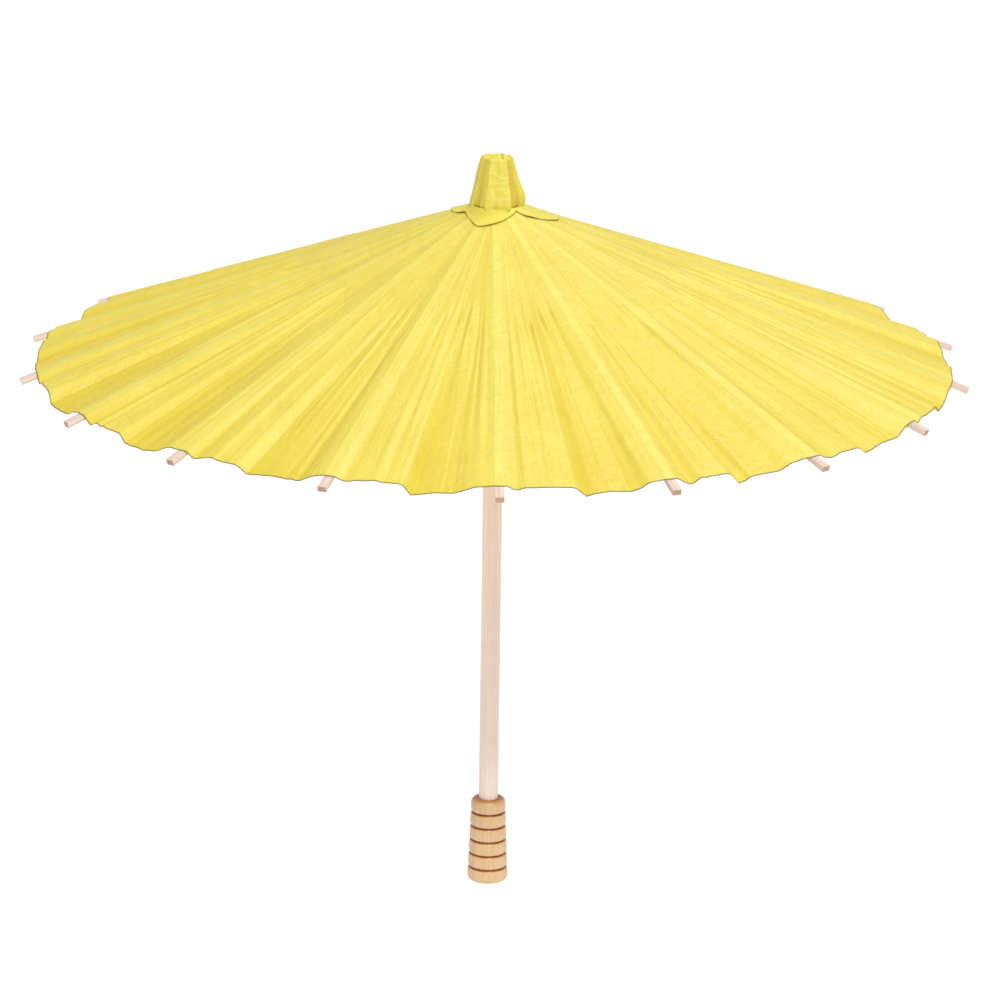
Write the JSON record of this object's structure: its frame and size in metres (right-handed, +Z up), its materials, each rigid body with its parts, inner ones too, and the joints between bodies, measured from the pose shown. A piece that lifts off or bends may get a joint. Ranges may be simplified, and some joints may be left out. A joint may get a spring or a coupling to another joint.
{
  "type": "oil paper umbrella",
  "caption": "Open paper parasol: pleated yellow canopy on slender wooden ribs, round wooden shaft and ringed turned wooden grip. It folds closed.",
  "frame": {"origin": "centre of the handle's flat foot", "axes": "+Z up along the shaft to the cap; the first rib points to -Y"},
  "size_m": [0.5138, 0.521, 0.4196],
  "materials": {
    "pale_wood": "bare sanded",
    "varnished_wood": "satin varnish",
    "yellow_paper": "matte, lightly oiled",
    "spring_steel": "drawn wire"
  },
  "bodies": {
    "root": {"shaft": "pale_wood", "handle": "varnished_wood", "top_hub": "pale_wood", "cap": "yellow_paper"},
    "rib_01": {"rib_01": "pale_wood", "canopy_gore_01": "yellow_paper"},
    "rib_02": {"rib_02": "pale_wood", "canopy_gore_02": "yellow_paper"},
    "rib_03": {"rib_03": "pale_wood", "canopy_gore_03": "yellow_paper"},
    "rib_04": {"rib_04": "pale_wood", "canopy_gore_04": "yellow_paper"},
    "rib_05": {"rib_05": "pale_wood", "canopy_gore_05": "yellow_paper"},
    "rib_06": {"rib_06": "pale_wood", "canopy_gore_06": "yellow_paper"},
    "rib_07": {"rib_07": "pale_wood", "canopy_gore_07": "yellow_paper"},
    "rib_08": {"rib_08": "pale_wood", "canopy_gore_08": "yellow_paper"},
    "rib_09": {"rib_09": "pale_wood", "canopy_gore_09": "yellow_paper"},
    "rib_10": {"rib_10": "pale_wood", "canopy_gore_10": "yellow_paper"},
    "rib_11": {"rib_11": "pale_wood", "canopy_gore_11": "yellow_paper"},
    "rib_12": {"rib_12": "pale_wood", "canopy_gore_12": "yellow_paper"},
    "rib_13": {"rib_13": "pale_wood", "canopy_gore_13": "yellow_paper"},
    "rib_14": {"rib_14": "pale_wood", "canopy_gore_14": "yellow_paper"},
    "rib_15": {"rib_15": "pale_wood", "canopy_gore_15": "yellow_paper"},
    "rib_16": {"rib_16": "pale_wood", "canopy_gore_16": "yellow_paper"},
    "rib_17": {"rib_17": "pale_wood", "canopy_gore_17": "yellow_paper"},
    "rib_18": {"rib_18": "pale_wood", "canopy_gore_18": "yellow_paper"},
    "stretcher_01": {"stretcher_01": "pale_wood"},
    "stretcher_02": {"stretcher_02": "pale_wood"},
    "stretcher_03": {"stretcher_03": "pale_wood"},
    "stretcher_04": {"stretcher_04": "pale_wood"},
    "stretcher_05": {"stretcher_05": "pale_wood"},
    "stretcher_06": {"stretcher_06": "pale_wood"},
    "stretcher_07": {"stretcher_07": "pale_wood"},
    "stretcher_08": {"stretcher_08": "pale_wood"},
    "stretcher_09": {"stretcher_09": "pale_wood"},
    "stretcher_10": {"stretcher_10": "pale_wood"},
    "stretcher_11": {"stretcher_11": "pale_wood"},
    "stretcher_12": {"stretcher_12": "pale_wood"},
    "stretcher_13": {"stretcher_13": "pale_wood"},
    "stretcher_14": {"stretcher_14": "pale_wood"},
    "stretcher_15": {"stretcher_15": "pale_wood"},
    "stretcher_16": {"stretcher_16": "pale_wood"},
    "stretcher_17": {"stretcher_17": "pale_wood"},
    "stretcher_18": {"stretcher_18": "pale_wood"},
    "runner": {"runner": "pale_wood"},
    "catch": {"catch_spring": "spring_steel"}
  },
  "joints": [
    {"name": "open_close", "type": "hinge", "parent": "root", "child": "rib_01", "pos_m": [0, -0.0096, 0.39067], "axis": [1, 0, 0], "range_deg": [0, 65.5], "deforming": ["canopy_gore_01", "catch_spring"]},
    {"name": "rib_02_hinge", "type": "hinge", "parent": "root", "child": "rib_02", "pos_m": [0.00328, -0.00902, 0.39067], "axis": [0.9397, 0.342, 0], "range_deg": [0, 65.5], "deforming": ["canopy_gore_02"]},
    {"name": "rib_03_hinge", "type": "hinge", "parent": "root", "child": "rib_03", "pos_m": [0.00617, -0.00735, 0.39067], "axis": [0.766, 0.6428, 0], "range_deg": [0, 65.5], "deforming": ["canopy_gore_03"]},
    {"name": "rib_04_hinge", "type": "hinge", "parent": "root", "child": "rib_04", "pos_m": [0.00831, -0.0048, 0.39067], "axis": [0.5, 0.866, 0], "range_deg": [0, 65.5], "deforming": ["canopy_gore_04"]},
    {"name": "rib_05_hinge", "type": "hinge", "parent": "root", "child": "rib_05", "pos_m": [0.00945, -0.00167, 0.39067], "axis": [0.1736, 0.9848, 0], "range_deg": [0, 65.5], "deforming": ["canopy_gore_05"]},
    {"name": "rib_06_hinge", "type": "hinge", "parent": "root", "child": "rib_06", "pos_m": [0.00945, 0.00167, 0.39067], "axis": [-0.1736, 0.9848, 0], "range_deg": [0, 65.5], "deforming": ["canopy_gore_06"]},
    {"name": "rib_07_hinge", "type": "hinge", "parent": "root", "child": "rib_07", "pos_m": [0.00831, 0.0048, 0.39067], "axis": [-0.5, 0.866, 0], "range_deg": [0, 65.5], "deforming": ["canopy_gore_07"]},
    {"name": "rib_08_hinge", "type": "hinge", "parent": "root", "child": "rib_08", "pos_m": [0.00617, 0.00735, 0.39067], "axis": [-0.766, 0.6428, 0], "range_deg": [0, 65.5], "deforming": ["canopy_gore_08"]},
    {"name": "rib_09_hinge", "type": "hinge", "parent": "root", "child": "rib_09", "pos_m": [0.00328, 0.00902, 0.39067], "axis": [-0.9397, 0.342, 0], "range_deg": [0, 65.5], "deforming": ["canopy_gore_09"]},
    {"name": "rib_10_hinge", "type": "hinge", "parent": "root", "child": "rib_10", "pos_m": [0, 0.0096, 0.39067], "axis": [-1, 0, 0], "range_deg": [0, 65.5], "deforming": ["canopy_gore_10"]},
    {"name": "rib_11_hinge", "type": "hinge", "parent": "root", "child": "rib_11", "pos_m": [-0.00328, 0.00902, 0.39067], "axis": [-0.9397, -0.342, 0], "range_deg": [0, 65.5], "deforming": ["canopy_gore_11"]},
    {"name": "rib_12_hinge", "type": "hinge", "parent": "root", "child": "rib_12", "pos_m": [-0.00617, 0.00735, 0.39067], "axis": [-0.766, -0.6428, 0], "range_deg": [0, 65.5], "deforming": ["canopy_gore_12"]},
    {"name": "rib_13_hinge", "type": "hinge", "parent": "root", "child": "rib_13", "pos_m": [-0.00831, 0.0048, 0.39067], "axis": [-0.5, -0.866, 0], "range_deg": [0, 65.5], "deforming": ["canopy_gore_13"]},
    {"name": "rib_14_hinge", "type": "hinge", "parent": "root", "child": "rib_14", "pos_m": [-0.00945, 0.00167, 0.39067], "axis": [-0.1736, -0.9848, 0], "range_deg": [0, 65.5], "deforming": ["canopy_gore_14"]},
    {"name": "rib_15_hinge", "type": "hinge", "parent": "root", "child": "rib_15", "pos_m": [-0.00945, -0.00167, 0.39067], "axis": [0.1736, -0.9848, 0], "range_deg": [0, 65.5], "deforming": ["canopy_gore_15"]},
    {"name": "rib_16_hinge", "type": "hinge", "parent": "root", "child": "rib_16", "pos_m": [-0.00831, -0.0048, 0.39067], "axis": [0.5, -0.866, 0], "range_deg": [0, 65.5], "deforming": ["canopy_gore_16"]},
    {"name": "rib_17_hinge", "type": "hinge", "parent": "root", "child": "rib_17", "pos_m": [-0.00617, -0.00735, 0.39067], "axis": [0.766, -0.6428, 0], "range_deg": [0, 65.5], "deforming": ["canopy_gore_17"]},
    {"name": "rib_18_hinge", "type": "hinge", "parent": "root", "child": "rib_18", "pos_m": [-0.00328, -0.00902, 0.39067], "axis": [0.9397, -0.342, 0], "range_deg": [0, 65.5], "deforming": ["canopy_gore_18"]},
    {"name": "stretcher_01_hinge", "type": "hinge", "parent": "rib_01", "child": "stretcher_01", "pos_m": [0, -0.10676, 0.35627], "axis": [1, 0, 0], "range_deg": [-131, 0]},
    {"name": "stretcher_02_hinge", "type": "hinge", "parent": "rib_02", "child": "stretcher_02", "pos_m": [0.03651, -0.10032, 0.35627], "axis": [0.9397, 0.342, 0], "range_deg": [-131, 0]},
    {"name": "stretcher_03_hinge", "type": "hinge", "parent": "rib_03", "child": "stretcher_03", "pos_m": [0.06862, -0.08178, 0.35627], "axis": [0.766, 0.6428, 0], "range_deg": [-131, 0]},
    {"name": "stretcher_04_hinge", "type": "hinge", "parent": "rib_04", "child": "stretcher_04", "pos_m": [0.09245, -0.05338, 0.35627], "axis": [0.5, 0.866, 0], "range_deg": [-131, 0]},
    {"name": "stretcher_05_hinge", "type": "hinge", "parent": "rib_05", "child": "stretcher_05", "pos_m": [0.10513, -0.01854, 0.35627], "axis": [0.1736, 0.9848, 0], "range_deg": [-131, 0]},
    {"name": "stretcher_06_hinge", "type": "hinge", "parent": "rib_06", "child": "stretcher_06", "pos_m": [0.10513, 0.01854, 0.35627], "axis": [-0.1736, 0.9848, 0], "range_deg": [-131, 0]},
    {"name": "stretcher_07_hinge", "type": "hinge", "parent": "rib_07", "child": "stretcher_07", "pos_m": [0.09245, 0.05338, 0.35627], "axis": [-0.5, 0.866, 0], "range_deg": [-131, 0]},
    {"name": "stretcher_08_hinge", "type": "hinge", "parent": "rib_08", "child": "stretcher_08", "pos_m": [0.06862, 0.08178, 0.35627], "axis": [-0.766, 0.6428, 0], "range_deg": [-131, 0]},
    {"name": "stretcher_09_hinge", "type": "hinge", "parent": "rib_09", "child": "stretcher_09", "pos_m": [0.03651, 0.10032, 0.35627], "axis": [-0.9397, 0.342, 0], "range_deg": [-131, 0]},
    {"name": "stretcher_10_hinge", "type": "hinge", "parent": "rib_10", "child": "stretcher_10", "pos_m": [0, 0.10676, 0.35627], "axis": [-1, 0, 0], "range_deg": [-131, 0]},
    {"name": "stretcher_11_hinge", "type": "hinge", "parent": "rib_11", "child": "stretcher_11", "pos_m": [-0.03651, 0.10032, 0.35627], "axis": [-0.9397, -0.342, 0], "range_deg": [-131, 0]},
    {"name": "stretcher_12_hinge", "type": "hinge", "parent": "rib_12", "child": "stretcher_12", "pos_m": [-0.06862, 0.08178, 0.35627], "axis": [-0.766, -0.6428, 0], "range_deg": [-131, 0]},
    {"name": "stretcher_13_hinge", "type": "hinge", "parent": "rib_13", "child": "stretcher_13", "pos_m": [-0.09245, 0.05338, 0.35627], "axis": [-0.5, -0.866, 0], "range_deg": [-131, 0]},
    {"name": "stretcher_14_hinge", "type": "hinge", "parent": "rib_14", "child": "stretcher_14", "pos_m": [-0.10513, 0.01854, 0.35627], "axis": [-0.1736, -0.9848, 0], "range_deg": [-131, 0]},
    {"name": "stretcher_15_hinge", "type": "hinge", "parent": "rib_15", "child": "stretcher_15", "pos_m": [-0.10513, -0.01854, 0.35627], "axis": [0.1736, -0.9848, 0], "range_deg": [-131, 0]},
    {"name": "stretcher_16_hinge", "type": "hinge", "parent": "rib_16", "child": "stretcher_16", "pos_m": [-0.09245, -0.05338, 0.35627], "axis": [0.5, -0.866, 0], "range_deg": [-131, 0]},
    {"name": "stretcher_17_hinge", "type": "hinge", "parent": "rib_17", "child": "stretcher_17", "pos_m": [-0.06862, -0.08178, 0.35627], "axis": [0.766, -0.6428, 0], "range_deg": [-131, 0]},
    {"name": "stretcher_18_hinge", "type": "hinge", "parent": "rib_18", "child": "stretcher_18", "pos_m": [-0.03651, -0.10032, 0.35627], "axis": [0.9397, -0.342, 0], "range_deg": [-131, 0]},
    {"name": "runner_carry", "type": "hinge", "parent": "stretcher_01", "child": "runner", "pos_m": [0, -0.0096, 0.32186], "axis": [1, 0, 0], "range_deg": [0, 65.5]},
    {"name": "catch_press", "type": "hinge", "parent": "root", "child": "catch", "pos_m": [0, -0.0028, 0.24486], "axis": [-1, 0, 0], "range_deg": [0, 4], "stiffness_Nm_per_rad": 0.3}
  ],
  "couplings": [
    {"joint": "rib_02_hinge", "follows": "open_close", "ratio": 1},
    {"joint": "rib_03_hinge", "follows": "open_close", "ratio": 1},
    {"joint": "rib_04_hinge", "follows": "open_close", "ratio": 1},
    {"joint": "rib_05_hinge", "follows": "open_close", "ratio": 1},
    {"joint": "rib_06_hinge", "follows": "open_close", "ratio": 1},
    {"joint": "rib_07_hinge", "follows": "open_close", "ratio": 1},
    {"joint": "rib_08_hinge", "follows": "open_close", "ratio": 1},
    {"joint": "rib_09_hinge", "follows": "open_close", "ratio": 1},
    {"joint": "rib_10_hinge", "follows": "open_close", "ratio": 1},
    {"joint": "rib_11_hinge", "follows": "open_close", "ratio": 1},
    {"joint": "rib_12_hinge", "follows": "open_close", "ratio": 1},
    {"joint": "rib_13_hinge", "follows": "open_close", "ratio": 1},
    {"joint": "rib_14_hinge", "follows": "open_close", "ratio": 1},
    {"joint": "rib_15_hinge", "follows": "open_close", "ratio": 1},
    {"joint": "rib_16_hinge", "follows": "open_close", "ratio": 1},
    {"joint": "rib_17_hinge", "follows": "open_close", "ratio": 1},
    {"joint": "rib_18_hinge", "follows": "open_close", "ratio": 1},
    {"joint": "stretcher_01_hinge", "follows": "open_close", "ratio": -2},
    {"joint": "stretcher_02_hinge", "follows": "open_close", "ratio": -2},
    {"joint": "stretcher_03_hinge", "follows": "open_close", "ratio": -2},
    {"joint": "stretcher_04_hinge", "follows": "open_close", "ratio": -2},
    {"joint": "stretcher_05_hinge", "follows": "open_close", "ratio": -2},
    {"joint": "stretcher_06_hinge", "follows": "open_close", "ratio": -2},
    {"joint": "stretcher_07_hinge", "follows": "open_close", "ratio": -2},
    {"joint": "stretcher_08_hinge", "follows": "open_close", "ratio": -2},
    {"joint": "stretcher_09_hinge", "follows": "open_close", "ratio": -2},
    {"joint": "stretcher_10_hinge", "follows": "open_close", "ratio": -2},
    {"joint": "stretcher_11_hinge", "follows": "open_close", "ratio": -2},
    {"joint": "stretcher_12_hinge", "follows": "open_close", "ratio": -2},
    {"joint": "stretcher_13_hinge", "follows": "open_close", "ratio": -2},
    {"joint": "stretcher_14_hinge", "follows": "open_close", "ratio": -2},
    {"joint": "stretcher_15_hinge", "follows": "open_close", "ratio": -2},
    {"joint": "stretcher_16_hinge", "follows": "open_close", "ratio": -2},
    {"joint": "stretcher_17_hinge", "follows": "open_close", "ratio": -2},
    {"joint": "stretcher_18_hinge", "follows": "open_close", "ratio": -2},
    {"joint": "runner_carry", "follows": "open_close", "ratio": 1}
  ]
}
